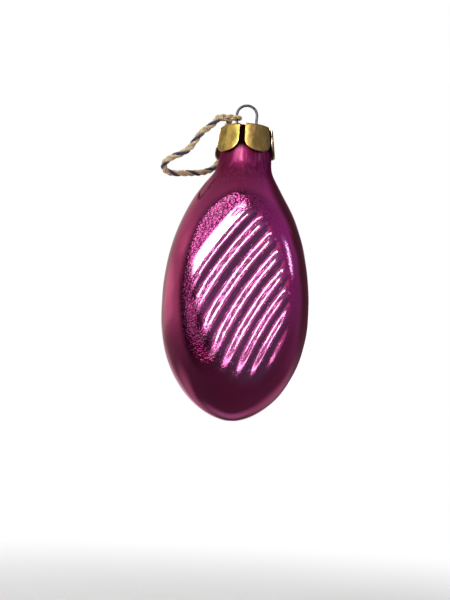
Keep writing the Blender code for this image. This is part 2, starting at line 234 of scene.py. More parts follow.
# Colours, as linear red, green and blue
BLACK = (0.0, 0.0, 0.0)
WHITE = (1.0, 1.0, 1.0)
# The hollow colours are painted shade in the yarns' hollows
TAN_FIBRE, TAN_HOLLOW_SHADE = (0.66, 0.51, 0.32), (0.36, 0.25, 0.13)
NAVY_FIBRE, NAVY_HOLLOW_SHADE = (0.05, 0.045, 0.09), (0.02, 0.018, 0.04)
THIN_LACQUER, THICK_LACQUER = (0.54, 0.026, 0.175), (0.43, 0.016, 0.15)
# The ridge colour on this line is a paler lacquer painted as a highlight on the panel's right ridge
FLUTED_LACQUER, RIDGE_HIGHLIGHT_LACQUER = (0.50, 0.13, 0.33), (0.60, 0.26, 0.46)
# The two grain colours are painted shade: darker low down, paler higher up
LOW_GRAIN_SHADE, HIGH_GRAIN_SHADE = (0.075, 0.010, 0.038), (0.175, 0.028, 0.094)
# Painted shade in the pits of the grain
GRAIN_PIT_SHADE = (0.040, 0.004, 0.020)
# The neck's paler runs are partly lacquer runs and partly painted highlight streaks
NECK_LACQUER, NECK_RUN_SHEEN = (0.165, 0.012, 0.056), (0.28, 0.036, 0.125)
# Painted shade: near black where the cap's petals cover the neck
BARE_NECK_SHADE = (0.006, 0.001, 0.0008)
LACQUER_EDGE = (0.75, 0.2, 0.4)         # at a glancing angle
SILVER, DULL_SILVER = (0.62, 0.60, 0.57), (0.35, 0.32, 0.29)
# The dull brass serves both for tarnish and for painted shade on the cap's right side
BRASS, TARNISH_AND_SHADE_BRASS = (0.76, 0.555, 0.138), (0.245, 0.215, 0.046)
BRASS_SPOT = (0.16, 0.11, 0.05)
CUT_BRASS, NICKED_BRASS = (0.92, 0.78, 0.52), (0.74, 0.56, 0.30)
PALE_STEEL, DARK_STEEL = (0.15, 0.15, 0.145), (0.075, 0.075, 0.075)
RUST = (0.20, 0.14, 0.09)
FLOOR_GREY, FLOOR_PALE = (0.86, 0.86, 0.86), (0.9, 0.9, 0.9)

# Stage and light
STAGE_MIDDLE = Vector((BELLY_LEAN, 0, -0.042))
FLOOR_HEIGHT = -0.125
FLOOR_RADIUS = 8.0
FLOOR_CORNERS = 96
FLOOR_FADE = (0.05, 0.3)                # distances over which the floor turns white
ROOM_LIGHT = 0.45                       # of the world, on what isn't shiny
TENT_RADIUS = 0.75
TENT_SEGMENTS = 64
TENT_SIDES = (-0.15 * TENT_RADIUS, 0.6 * TENT_RADIUS)    # over which the left's glow turns to the right's
# Glow of the tent from its foot to its head
TENT_LEFT = (
    (0.0, (0.10, 0.09, 0.10)), (0.25, (0.12, 0.11, 0.12)), (0.42, (0.22, 0.20, 0.21)),
    (0.52, (0.48, 0.45, 0.43)), (0.64, (0.50, 0.44, 0.44)), (0.75, (0.60, 0.50, 0.54)),
    (0.85, (0.46, 0.40, 0.43)), (1.0, (0.32, 0.28, 0.30)),
)
TENT_RIGHT = (
    (0.0, (0.11, 0.10, 0.12)), (0.25, (0.14, 0.12, 0.15)), (0.45, (0.20, 0.17, 0.24)),
    (0.56, (0.28, 0.22, 0.40)), (0.75, (0.48, 0.28, 0.68)), (0.85, (0.38, 0.27, 0.52)),
    (1.0, (0.30, 0.28, 0.34)),
)
CARD_DISTANCE = 0.6
CARD_EDGE = 0.5                         # of a card's width or height, from its middle
# Cards: azimuth from the front towards the right, elevation, turn, width and height in degrees, where each
# starts to fade towards its edge, glow and colour
CARDS = {
    "key_card": (-21.8, 28.6, 32, 31, 14, 0.43, 17.0, (1.0, 0.99, 1.0)),
    "border_card": (-28, 2, 0, 54, 24, 0.1, 7.0, (1.0, 0.75, 0.9)),
    "front_card": (22, 6, 0, 58, 28, 0.2, 0.9, (1.0, 0.55, 0.85)),
    "side_card": (67, 21, 45, 10, 12, 0.3, 4.0, (0.98, 0.96, 1.0)),
    "left_card": (-128, 9, 0, 50, 19, 0.12, 0.85, (1.0, 0.93, 0.92)),
    "low_left_card": (-140, -30, 0, 66, 27, 0.08, 0.5, (1.0, 0.9, 0.95)),
    "low_right_card": (142, -30, 0, 40, 52, 0.08, 0.45, (1.0, 0.85, 0.95)),
    "foot_card": (180, -52, 0, 70, 30, 0.08, 0.6, (0.8, 0.8, 1.0)),
    "wing_card": (-88, 26, 0, 66, 12, 0.05, 0.85, (1.0, 0.95, 0.9)),
    "back_card": (171, 3, 0, 22, 22, 0.15, 2.0, (1.0, 0.97, 1.0)),
    "back_fill": (-168, -13, 0, 66, 30, 0.08, 0.9, (1.0, 0.8, 0.95)),
    "left_shade": (-64, -22, 0, 60, 36, 0.12, 0.11, (1.0, 0.8, 0.9)),
    "right_shade": (140, 22, 0, 60, 80, 0.15, 0.09, (1.0, 0.7, 0.8)),
}
# Lamps: azimuth and elevation in degrees, distance, size and power
LAMPS = {
    "key_lamp": (-35, 40, 0.6, 0.3, 2.2),
    "fill_lamp": (45, 25, 0.8, 0.4, 1.0),
}


# Nodes of a finish

class Value:
    """A shader socket that stands in Python expressions."""

    def __init__(self, finish, socket):
        self.finish = finish
        self.socket = socket

    def math(self, operation, first, second):
        return self.finish.node("Math", {"operation": operation}, {0: first, 1: second})

    def __add__(self, other):
        return self.math("ADD", self, other)

    def __sub__(self, other):
        return self.math("SUBTRACT", self, other)

    def __rsub__(self, other):
        return self.math("SUBTRACT", other, self)

    def __mul__(self, other):
        return self.math("MULTIPLY", self, other)

    __radd__ = __add__
    __rmul__ = __mul__


class Finish:
    """A material or world whose nodes are made one call at a time."""

    def __init__(self, owner):
        self.owner = owner
        owner.use_nodes = True
        self.tree = owner.node_tree

    def node(self, kind, settings=None, inputs=None, output=0):
        """A new node's output. Its settings come first, then its inputs' values or links."""
        node = self.tree.nodes.new("ShaderNode" + kind)
        for name, setting in (settings or {}).items():
            if name == "stops":
                self.set_stops(node.color_ramp, setting)
            else:
                setattr(node, name, setting)
        for name, value in (inputs or {}).items():
            self.feed(node.inputs[name], value)
        return Value(self, node.outputs[output])

    def set_stops(self, ramp, stops):
        while len(ramp.elements) < len(stops):
            ramp.elements.new(1.0)
        for element, (place, colour) in zip(ramp.elements, stops):
            element.position = place
            element.color = (*colour, 1.0)

    def feed(self, socket, value):
        """Link a value to a socket, or set a number, a vector or a colour on it."""
        if isinstance(value, Value):
            self.tree.links.new(value.socket, socket)
        elif socket.type == "RGBA":
            socket.default_value = (*value, 1.0)
        else:
            socket.default_value = value

    def shade(self, **inputs):
        """Feed the material's own shader, whose socket names are given with low lines for spaces."""
        shader = self.tree.nodes["Principled BSDF"]
        for name, value in inputs.items():
            self.feed(shader.inputs[name.replace("_", " ").title().replace("Ior", "IOR")], value)

    def place(self):
        """Position on the piece, in millimetres."""
        here = self.node("TexCoord", output="Object")
        return self.node("VectorMath", {"operation": "SCALE"}, {0: here, "Scale": 1 / MM})

    def part(self, where, axis):
        return self.node("SeparateXYZ", None, {0: where}, axis)

    def mark(self, name):
        """Number that the mesh holds at each of its points."""
        return self.node("Attribute", {"attribute_name": name}, None, "Fac")

    def noise(self, where, scale, detail=2.0, roughness=0.5):
        inputs = {"Vector": where, "Scale": scale, "Detail": detail, "Roughness": roughness}
        return self.node("TexNoise", None, inputs)

    def stretched(self, where, factors):
        return self.node("VectorMath", {"operation": "MULTIPLY"}, {0: where, 1: factors})

    def between(self, value, low, high):
        """Smooth share from 0 at the low value to 1 at the high one."""
        inputs = {"Value": value, "From Min": low, "From Max": high}
        return self.node("MapRange", {"interpolation_type": "SMOOTHSTEP"}, inputs)

    def mix(self, share, first, second):
        return self.node("Mix", {"data_type": "RGBA"}, {0: share, 6: first, 7: second}, 2)

    def bump(self, height, distance, strength=1.0):
        return self.node("Bump", None, {"Height": height, "Distance": distance, "Strength": strength})


def new_finish(name):
    return Finish(bpy.data.materials.new(name))


# Meshes

class Skin:
    """Vertices and faces of one piece, gathered from rows of closed rings."""

    def __init__(self):
        self.points = []
        self.faces = []
        self.finishes = []

    def add(self, rings, finish=0):
        """Close a skin over rings that run round their line anticlockwise, with a pole at each end."""
        rings = np.asarray(rings)
        count, sides = rings.shape[:2]
        first = len(self.points)
        self.points += rings.reshape(-1, 3).tolist()
        self.points += [rings[0].mean(0).tolist(), rings[-1].mean(0).tolist()]
        start_pole, end_pole = first + count * sides, first + count * sides + 1
        faces = []
        for row in range(count - 1):
            low, high = first + row * sides, first + (row + 1) * sides
            for side in range(sides):
                beside = (side + 1) % sides
                faces.append((low + side, low + beside, high + beside, high + side))
        last = first + (count - 1) * sides
        for side in range(sides):
            beside = (side + 1) % sides
            faces.append((first + beside, first + side, start_pole))
            faces.append((last + side, last + beside, end_pole))
        self.faces += faces
        self.finishes += [finish] * len(faces)

    def piece(self, name, finishes, sharp=None):
        mesh = bpy.data.meshes.new(name)
        mesh.from_pydata(self.points, [], self.faces)
        mesh.polygons.foreach_set("material_index", self.finishes)
        for finish in finishes:
            mesh.materials.append(finish)
        mesh.shade_smooth()
        if sharp is not None:
            mesh.set_sharp_from_angle(angle=sharp)
        return new_object(name, mesh)


def new_object(name, data):
    thing = bpy.data.objects.new(name, data)
    bpy.context.scene.collection.objects.link(thing)
    return thing


def smooth_step(start, end, value):
    share = np.clip((value - start) / (end - start), 0, 1)
    return share * share * (3 - 2 * share)


def lengths_along(line):
    steps = np.linalg.norm(np.diff(line, axis=0), axis=1)
    return np.concatenate([[0], np.cumsum(steps)])


def smooth_line(points, step):
    """Evenly spaced points on a smooth curve through the given ones."""
    route = np.asarray(points, float)
    ends = np.vstack([2 * route[0] - route[1], route, 2 * route[-1] - route[-2]])
    fine = []
    for number in range(len(route) - 1):
        before, start, end, after = ends[number:number + 4]
        for share in np.linspace(0, 1, LINE_STEPS, endpoint=False):
            leave = (end - before) / 2 * share * (1 - share) ** 2
            arrive = (after - start) / 2 * share ** 2 * (1 - share)
            fine.append(start + (end - start) * smooth_step(0, 1, share) + leave - arrive)
    fine = np.array(fine + [route[-1]])
    reach = lengths_along(fine)
    goals = np.linspace(0, reach[-1], max(int(reach[-1] / step), 2))
    return np.stack([np.interp(goals, reach, fine[:, axis]) for axis in range(3)], -1)


def frames_along(line):
    """Two directions across a line at each of its points, turning as little as they can."""
    along = np.gradient(line, axis=0)
    along /= np.linalg.norm(along, axis=1)[:, None]
    side = np.cross(along[0], OFF_LINE)
    sides = []
    for direction in along:
        side = side - direction * side.dot(direction)
        side /= np.linalg.norm(side)
        sides.append(side)
    sides = np.array(sides)
    return sides, np.cross(along, sides)


def tube_rings(line, radius, count):
    """Rings of a tube; the radius is one number or one for each point."""
    first, second = (directions[:, None] for directions in frames_along(line))
    turn = np.linspace(0, math.tau, count, endpoint=False)[None, :, None]
    outward = np.cos(turn) * first + np.sin(turn) * second
    return line[:, None] + np.broadcast_to(radius, len(line))[:, None, None] * outward


def put_on(piece, body, node):
    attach(piece, body)
    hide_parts(node)


# Camera

def make_camera():
    ahead = Vector((0, math.cos(CAMERA_PITCH), math.sin(CAMERA_PITCH)))
    upright = Vector((0, -math.sin(CAMERA_PITCH), math.cos(CAMERA_PITCH)))
    level = Vector((1, 0, 0))
    right = level * math.cos(CAMERA_ROLL) + upright * math.sin(CAMERA_ROLL)
    above = upright * math.cos(CAMERA_ROLL) - level * math.sin(CAMERA_ROLL)
    camera = new_object("camera", bpy.data.cameras.new("camera"))
    camera.matrix_world = Matrix((right, above, -ahead)).transposed().to_4x4()
    camera.location = CAMERA_AIM - ahead * CAMERA_DISTANCE
    camera.data.sensor_width = SENSOR
    camera.data.lens = FOCAL_PIXELS * SENSOR / FRAME_HEIGHT
    camera.data.clip_start = NEAREST_SEEN
    bpy.context.scene.camera = camera


# Twine

def yarn_finish(name, pale, hollow_shade):
    """Spun plant fibre: fine lines along the yarn, lighter hairs, and hollows painted darker as shade where
    the fibre bump is low.
    """
    finish = new_finish(name)
    where = finish.place()
    fibre = finish.noise(finish.stretched(where, (9.0, 9.0, 4.0)), scale=1.6, detail=4.0, roughness=0.65)
    patch = finish.noise(where, scale=0.9, detail=3.0)
    # Painted shade: the hollow colour where the fibre bump is low, broken up by patches
    share = finish.between(fibre * 0.65 + patch * 0.35, 0.36, 0.62)
    finish.shade(
        base_color=finish.mix(share, hollow_shade, pale),
        roughness=0.92, sheen_weight=0.35, sheen_roughness=0.5,
        normal=finish.bump(fibre, distance=0.06 * MM, strength=0.9))
    return finish.owner


def twisted_skin(line, diameter, pitch, dark_yarn=None):
    """Skin of three yarns laid round a line; a dark yarn has the second finish."""
    skin = Skin()
    first, second = frames_along(line)
    reach = lengths_along(line)
    yarn_radius = YARN_SHARE * diameter / 2
    lay_radius = diameter / 2 - yarn_radius
    for yarn in range(YARN_COUNT):
        turn = math.tau * (reach / pitch + yarn / YARN_COUNT)
        lay = np.cos(turn)[:, None] * first + np.sin(turn)[:, None] * second
        swell = np.ones(len(line))
        for share, rate, shift in YARN_SWELLS:
            swell += share * np.sin(reach / MM * rate + shift * yarn)
        rings = tube_rings(line + lay_radius * lay, yarn_radius * swell, YARN_SIDES)
        skin.add(rings, 1 if yarn == dark_yarn else 0)
    return skin


def make_twine(tan, navy):
    route = np.array(TWINE_ROUTE) * MM + np.array(KNOT_PLACE)
    line = smooth_line(route, YARN_STEP)
    skin = twisted_skin(line, TWINE_FULLNESS * TWINE_DIAMETER, TWIST_PITCH, dark_yarn=0)
    twine = skin.piece("twisted_twine", [tan, navy])
    put_on(twine, "twine", "twine_loop")
    return twine, line


def make_hitch(tan):
    """Both ends of the loop laid round each other from the loop to the wire, with a turn round the wire."""
    share = np.linspace(0, 1, HITCH_ROWS)
    turn = math.pi + math.tau * HITCH_TURNS * (1 - share)
    spread = HITCH_LAY + (WRAP_RADIUS - HITCH_LAY) * share ** HITCH_OPENING
    towards_wire = np.interp(share, (0, 1), HITCH_SPAN)
    coming = np.stack([towards_wire, spread * np.cos(turn), HITCH_LAY * np.sin(turn)], -1)
    going = coming[::-1] * (1, -1, -1)
    bend = np.linspace(-math.pi / 2, math.pi / 2, WRAP_ROWS)[1:-1]
    wrap = WRAP_RADIUS * np.stack([np.cos(bend), np.sin(bend), 0 * bend], -1)
    route = np.concatenate([coming, wrap, going, np.array(HITCH_END) * MM])
    line = smooth_line(route + np.array(KNOT_PLACE), YARN_STEP)
    hitch = twisted_skin(line, HITCH_DIAMETER, HITCH_PITCH).piece("twine_hitch", [tan])
    put_on(hitch, "twine", "twine_knot")
    return hitch


def make_fuzz(line, tan):
    """Loose fibre ends that stand off the twine."""
    draw = np.random.default_rng(FUZZ_SEED)
    first, second = frames_along(line)
    shares = np.linspace(0, 1, FUZZ_ROWS)[:, None]
    skin = Skin()
    for number in draw.integers(FUZZ_MARGIN, len(line) - FUZZ_MARGIN, FUZZ_COUNT):
        turn = draw.uniform(0, math.tau)
        out = math.cos(turn) * first[number] + math.sin(turn) * second[number]
        along = line[number + 1] - line[number]
        along = along / np.linalg.norm(along) * draw.choice((-1, 1))
        length = draw.uniform(*FUZZ_LENGTHS)
        lift = draw.uniform(*FUZZ_LIFTS)
        curl = draw.uniform(-FUZZ_CURL, FUZZ_CURL)
        hair = line[number] + out * TWINE_DIAMETER * FUZZ_ROOT + along * length * shares
        hair = hair + out * length * lift * shares ** FUZZ_BEND
        hair = hair + np.cross(out, along) * length * curl * shares ** 2
        skin.add(tube_rings(hair, np.linspace(*FUZZ_RADII, FUZZ_ROWS), FUZZ_SIDES))
    fuzz = skin.piece("twine_fuzz", [tan])
    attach(fuzz, "twine")
    return fuzz


# Glass

def shoulder_span(drop, belly, inset):
    """Half the width above the belly, where a dome meets a straight neck."""
    rise = (BELLY_DROP - drop) / (SHOULDER_RISE - inset)
    dome = belly * np.sqrt(np.clip(1 - rise * rise, 0, 1))
    neck = NECK_RADIUS + drop * math.tan(NECK_TAPER) - inset
    closeness = np.clip(SHOULDER_BLEND - abs(dome - neck), 0, None) / SHOULDER_BLEND
    return np.maximum(dome, neck) + closeness * closeness * SHOULDER_BLEND / 4


def half_span(drop, belly_half, inset):
    """Half the width of the bulb, whose neck eases into its shoulder."""
    belly = belly_half - inset
    fall = np.clip((drop - BELLY_DROP) / (GLASS_LENGTH - BELLY_DROP - inset), 0, 1)
    below = belly * (1 - fall ** TIP_FULLNESS) ** TIP_ROUNDNESS
    ease = SHOULDER_EASE * (1 - smooth_step(*EASE_FADE, drop))
    shifts = np.linspace(-1, 1, EASE_SAMPLES)
    above = np.mean([shoulder_span(drop + ease * shift, belly, inset) for shift in shifts], 0)
    return np.where(drop > BELLY_DROP, below, above)


def press_depth(x, drop):
    room = 1 - (x / PANEL_HALF_WIDTH) ** 2 - ((drop - PANEL_DROP) / PANEL_HALF_HEIGHT) ** 2
    left, right = PANEL_SOFTNESS
    softness = left + (right - left) * smooth_step(-PANEL_HALF_WIDTH / 2, PANEL_HALF_WIDTH / 2, x)
    return PANEL_PRESS * np.clip(room, 0, None) ** softness


def flute_reach(x, drop):
    """Distance from the middle of the flutes' oval, where 1 is its edge."""
    rise = FLUTE_DROP - drop
    x = x - FLUTE_LEAN
    across = (x * math.cos(FLUTE_TILT) + rise * math.sin(FLUTE_TILT)) / FLUTE_HALF_WIDTH
    along = (rise * math.cos(FLUTE_TILT) - x * math.sin(FLUTE_TILT)) / FLUTE_HALF_HEIGHT
    return np.hypot(across, along)


def flute_place(x, drop):
    """Distances inward from the first flute's arc and along it."""
    x, drop = x - FLUTE_ARC_X, drop - FLUTE_ARC_DROP
    return FLUTE_FIRST_RADIUS - np.hypot(x, drop), FLUTE_FIRST_RADIUS * np.arctan2(drop, x)


def flute_count(inward):
    """Number of flutes within that distance, whose pitch falls by a step at each flute."""
    root = np.sqrt(np.clip(FLUTE_PITCH ** 2 - 2 * FLUTE_PITCH_STEP * inward, 0, None))
    return (FLUTE_PITCH - root) / FLUTE_PITCH_STEP


def flute_height(x, drop):
    """Waves across the panel. The first has a late crest and a straight outer flank to level ground."""
    low_end = smooth_step(0, LOW_END_LENGTH, -x - LOW_END_SLOPE * (FLUTE_DROP - drop))
    fade = [usual + (low - usual) * low_end for usual, low in zip(FLUTE_FADE, LOW_FADE)]
    strength = 1 - smooth_step(*fade, flute_reach(x, drop))
    count = flute_count(flute_place(x, drop)[0])
    count = count - FIRST_SHIFT * (1 - smooth_step(*FIRST_FADE, count))
    count = np.clip(np.where(count < 0, count * FIRST_SLOWNESS, count), FIRST_FLOOR, None)
    pitch = FLUTE_PITCH - FLUTE_PITCH_STEP * np.clip(count, 0, None)
    strength = strength * (1 + LAST_GAIN * smooth_step(*LAST_FLUTES, count))
    wave = np.where(count < 0, math.tau * count, np.sin(math.tau * count))
    return FLUTE_HEIGHT / 2 * pitch * strength * wave


def blown_height(points):
    """Slow uneven waves that a blown wall has."""
    draw = np.random.default_rng(BLOWN_SEED)
    height = np.zeros(points.shape[:-1])
    for _ in range(BLOWN_WAVES):
        direction = draw.normal(size=3)
        direction *= math.tau / draw.uniform(*BLOWN_LENGTHS) / np.linalg.norm(direction)
        height += np.sin(points @ direction + draw.uniform(0, math.tau))
    return height * BLOWN_HEIGHT / math.sqrt(BLOWN_WAVES)


def glass_rings(drops, inset):
    """Rings of the bulb at these drops, set in from its outer skin."""
    turn = np.linspace(0, math.tau, GLASS_COLUMNS, endpoint=False)
    turn = turn + COLUMN_CROWDING * np.sin(2 * turn)
    drop = np.asarray(drops)[:, None]
    below_neck = smooth_step(*LEAN_DROPS, drop)
    x = half_span(drop, BELLY_HALF_WIDTH, inset) * np.cos(turn) + BELLY_LEAN * below_neck
    y = half_span(drop, BELLY_HALF_DEPTH, inset) * np.sin(turn)
    side = np.where(y > 0, 1, -1)
    relief = flute_height(-side * x, drop) - press_depth(-side * x, drop)
    rings = np.stack([x, y + side * relief, np.broadcast_to(RIM - drop, x.shape)], -1)
    waves = blown_height(rings) * below_neck
    rings[..., 1] += waves * np.sin(turn)
    rings[..., 0] += waves * np.cos(turn)
    return rings


def rising(finish, height, drops):
    """Share of a height in millimetres, from 0 at the first drop to 1 at the second."""
    low, high = ((RIM - drop) / MM for drop in drops)
    return finish.between(height, low, high)


def lacquer_finish():
    """Clear magenta lacquer over silvering, with a pebbled grain round the flutes and scores along them. The
    grain and its pits are painted dark as shade, paler towards the top as painted light; a paler band on the
    panel's right ridge is a painted highlight; the paler runs on the neck are partly lacquer runs and partly
    painted highlight streaks; and the neck under the cap is painted near black as shade.
    """
    finish = new_finish("magenta_lacquer")
    where = finish.place()
    grain, fluted, ridge, across, along = (finish.mark(name) for name in GLASS_MARKS)
    height = finish.part(where, "Z")
    neck = rising(finish, height, NECK_DROPS)
    # Band under the cap, painted near black as shade
    bare_shade = rising(finish, height, BARE_SHADE_DROPS)
    # Painted light: the grain's dark colour turns paler towards the top
    lit_grain = rising(finish, height, GRAIN_LIGHT_DROPS)

    scored = finish.node("CombineXYZ", None, {0: across * SCORES_ACROSS, 1: along * SCORES_ALONG})
    score = finish.noise(scored, scale=1.0, detail=3.0, roughness=0.7)
    scratch = finish.between(finish.noise(scored, scale=2.3, roughness=0.6), 0.56, 0.70)
    pebble = finish.node("TexVoronoi", None, {"Vector": where, "Scale": 2.1}, "Distance")
    speck = finish.noise(where, scale=1.6, roughness=0.6) - pebble * 0.7
    ripple = finish.noise(where, scale=0.35)
    relief = speck * grain * 0.75 + (score * 0.45 + scratch * 0.16) * fluted * (1 - grain)
    relief = relief + ripple * (0.25 + neck * 0.5)

    cloud = finish.noise(finish.stretched(where, (1.0, 1.0, 0.45)), scale=0.11, detail=3.0)
    thick = finish.between(cloud + ripple * 0.12, 0.4, 0.72)
    smooth_skin = finish.mix(fluted, finish.mix(thick, THIN_LACQUER, THICK_LACQUER), FLUTED_LACQUER)
    # Painted highlight: paler lacquer along the panel's right ridge
    smooth_skin = finish.mix(ridge, smooth_skin, RIDGE_HIGHLIGHT_LACQUER)
    # Painted shade: the grain takes a dark colour, paler higher up
    skin = finish.mix(grain, smooth_skin, finish.mix(lit_grain, LOW_GRAIN_SHADE, HIGH_GRAIN_SHADE))
    # Painted shade in the pits between the pebbles, where the bump is lowest
    pit_shade = finish.between(pebble, 0.42, 0.75) * grain
    skin = finish.mix(pit_shade * 0.8, skin, GRAIN_PIT_SHADE)
    # Paler runs down the neck: partly lacquer runs, partly painted highlight streaks
    drip_and_sheen = finish.noise(finish.stretched(where, (1.5, 1.5, 0.22)), scale=1.0, detail=3.0, roughness=0.6)
    runs_and_sheen = finish.mix(finish.between(drip_and_sheen, 0.46, 0.62), NECK_LACQUER, NECK_RUN_SHEEN)
    skin = finish.mix(neck, skin, runs_and_sheen)

    finish.shade(
        # Under the cap the neck is painted near black as shade
        base_color=finish.mix(bare_shade, skin, BARE_NECK_SHADE), metallic=1.0, specular_tint=LACQUER_EDGE,
        roughness=0.06 + grain * 0.14 + thick * 0.03 + neck * 0.40 + bare_shade * 0.15,
        coat_weight=0.95 - neck * 0.8 - grain * 0.9 - bare_shade * 0.15, coat_roughness=0.03, coat_ior=1.5,
        normal=finish.bump(relief, distance=LACQUER_RELIEF))
    return finish.owner


def silvering_finish():
    finish = new_finish("silvering")
    tarnish = finish.noise(finish.place(), scale=0.6, detail=4.0)
    finish.shade(
        base_color=finish.mix(tarnish, SILVER, DULL_SILVER),
        metallic=1.0, roughness=0.25 + tarnish * 0.2)
    return finish.owner


def glass_skin():
    """The bulb's wall: up the outside from the tip, over the rim, and down the inside in its own finish."""
    up = np.linspace(0, 1, GLASS_ROWS + 1)[1:]
    outer = GLASS_LENGTH * (1 - up ** ROW_CROWDING)
    inner = (GLASS_LENGTH - GLASS_WALL) * np.linspace(0, 1, INNER_ROWS + 1)[1:-1]
    outer_rings = glass_rings(outer[outer > GLASS_WALL / 2], 0.0)
    inner_rings = glass_rings(inner[inner > GLASS_WALL / 2], GLASS_WALL)
    rim_rings = []
    for bend in np.linspace(0, math.pi, RIM_ROWS + 2)[1:-1]:
        rings = glass_rings([0.0], GLASS_WALL / 2 * (1 - math.cos(bend)))
        rings[..., 2] += GLASS_WALL / 2 * (math.sin(bend) - 1)
        rim_rings.append(rings)
    skin = Skin()
    skin.add(np.concatenate([outer_rings, *rim_rings, inner_rings]))
    inside_from = (len(outer_rings) + RIM_ROWS) * GLASS_COLUMNS
    skin.finishes = [1 if min(face) >= inside_from else 0 for face in skin.faces]
    return skin


def glass_marks(points):
    """Grain, flutes and the right ridge's painted highlight at each point of the glass, and its place across
    and along the flutes.
    """
    x = np.where(points[:, 1] > 0, -1, 1) * points[:, 0]
    drop = RIM - points[:, 2]
    reach = flute_reach(x, drop)
    edge = np.hypot(x / PANEL_HALF_WIDTH, (drop - PANEL_DROP) / PANEL_HALF_HEIGHT)
    left = smooth_step(*LEFT_SIDE, x)
    inward, way = flute_place(x, drop)
    count = flute_count(inward)
    upper_ring = smooth_step(*GRAIN_UPPER_RING, reach)
    lower_ring = smooth_step(*GRAIN_LOWER_RING, reach)
    ring = lower_ring + (upper_ring - lower_ring) * smooth_step(*GRAIN_UPPER_DROPS, drop)
    outside = smooth_step(*GRAIN_OUTSIDE, count) * smooth_step(*GRAIN_OUTSIDE_REACH, reach)
    grain = np.maximum(ring, outside) * (GRAIN_AT_RIGHT + (1 - GRAIN_AT_RIGHT) * left)
    grain *= (1 - smooth_step(*GRAIN_EDGE, edge)) * (1 - smooth_step(*GRAIN_FOOT, drop))
    fluted = 1 - smooth_step(*FLUTE_FADE, reach)
    # Band along the panel's right edge, painted paler as a highlight
    ridge = smooth_step(*RIDGE_INNER, edge) * (1 - smooth_step(*RIDGE_OUTER, edge)) * (1 - left)
    ridge *= smooth_step(*RIDGE_HEAD, drop) * smooth_step(*RIDGE_FOOT, drop)
    return dict(zip(GLASS_MARKS, (grain, fluted, ridge, count, way / MM)))


def make_glass():
    skin = glass_skin()
    glass = skin.piece("glass_shell", [lacquer_finish(), silvering_finish()])
    for name, values in glass_marks(np.array(skin.points)).items():
        glass.data.attributes.new(name, "FLOAT", "POINT").data.foreach_set("value", values)
    put_on(glass, "glass", "glass_body")


# Cap

def brass_finish():
    """Thin rolled brass: drawn streaks down the petals, thin brown tarnish, small dark spots, and painted
    shade that darkens it towards the right.
    """
    finish = new_finish("stamped_brass")
    where = finish.place()
    streak = finish.noise(finish.stretched(where, (7.0, 7.0, 0.35)), scale=1.0, detail=3.0, roughness=0.6)
    tarnish = finish.noise(finish.stretched(where, (1.0, 1.0, 0.5)), scale=0.55, detail=4.0, roughness=0.6)
    # Painted shade: the brass darkens towards its right side
    right_side_shade = finish.between(finish.part(where, "X"), *SHADED_SIDE)
    tarnish_and_shade = finish.between(tarnish * 0.7 + streak * 0.3 + right_side_shade * 0.17, 0.42, 0.66)
    spots = finish.between(finish.noise(where, scale=3.2), 0.66, 0.74)
    finish.shade(
        base_color=finish.mix(spots * 0.6, finish.mix(tarnish_and_shade, BRASS, TARNISH_AND_SHADE_BRASS), BRASS_SPOT),
        metallic=1.0, roughness=0.30 + tarnish_and_shade * 0.10 + streak * 0.10,
        normal=finish.bump(streak, distance=0.03 * MM, strength=0.7))
    return finish.owner


def cut_edge_finish():
    finish = new_finish("cut_brass_edge")
    nick = finish.noise(finish.place(), scale=3.0, detail=3.0)
    finish.shade(
        base_color=finish.mix(nick, CUT_BRASS, NICKED_BRASS),
        metallic=1.0, roughness=0.22 + nick * 0.2)
    return finish.owner


def cap_point(row, petal, across, phases):
    """Point of the cap's outer face, by its row from the middle and its place from -1 to 1 on a petal."""
    pitch = math.tau / PETAL_COUNT
    gap_angle = PETAL_GAP / CAP_RADIUS
    angle = FIRST_GAP_TURN + petal * pitch + gap_angle / 2 + (pitch - gap_angle) * (1 + across) / 2
    bend = min(max(row - DISC_ROWS, 0) / FOLD_ROWS, 1) * math.pi / 2
    radius = min(row / DISC_ROWS, 1) * (CAP_RADIUS - CAP_FOLD) + CAP_FOLD * math.sin(bend)
    down = max(row - DISC_ROWS - FOLD_ROWS, 0) / PETAL_ROWS
    round_end = (PETAL_LENGTH - PETAL_STRAIGHT) * math.sqrt(max(1 - abs(across) ** PETAL_ROUNDNESS, 0.0))
    drop = down * (PETAL_STRAIGHT - CAP_FOLD + round_end)
    dent = math.sin(DENT_WAVES[0] * across + phases[0]) * math.sin(DENT_WAVES[1] * down + phases[1])
    radius += drop * math.tan(PETAL_SPLAYS[petal]) + DENT_DEPTH * dent * down
    return radius * math.cos(angle), radius * math.sin(angle), CAP_FOLD * (math.cos(bend) - 1) - drop


def cap_sheet():
    """Outer face of the cap: a flat top, a folded edge and five petals with gaps between them."""
    columns = PETAL_COLUMNS + 1
    around = PETAL_COUNT * columns
    phases = np.random.default_rng(DENT_SEED).uniform(0, math.tau, (PETAL_COUNT, 2))
    points = [(0, 0, 0)]
    for row in range(1, CAP_ROWS + 1):
        for number in range(around):
            petal, column = divmod(number, columns)
            across = -math.cos(math.pi * column / PETAL_COLUMNS)
            points.append(cap_point(row, petal, across, phases[petal]))
    faces = [(0, 1 + number, 1 + (number + 1) % around) for number in range(around)]
    for row in range(CAP_ROWS - 1):
        low, high = 1 + row * around, 1 + (row + 1) * around
        for number in range(around):
            if row >= DISC_ROWS - 1 and number % columns == PETAL_COLUMNS:
                continue
            beside = (number + 1) % around
            faces.append((low + number, high + number, high + beside, low + beside))
    mesh = bpy.data.meshes.new("petal_cap")
    mesh.from_pydata(points, [], faces)
    return mesh


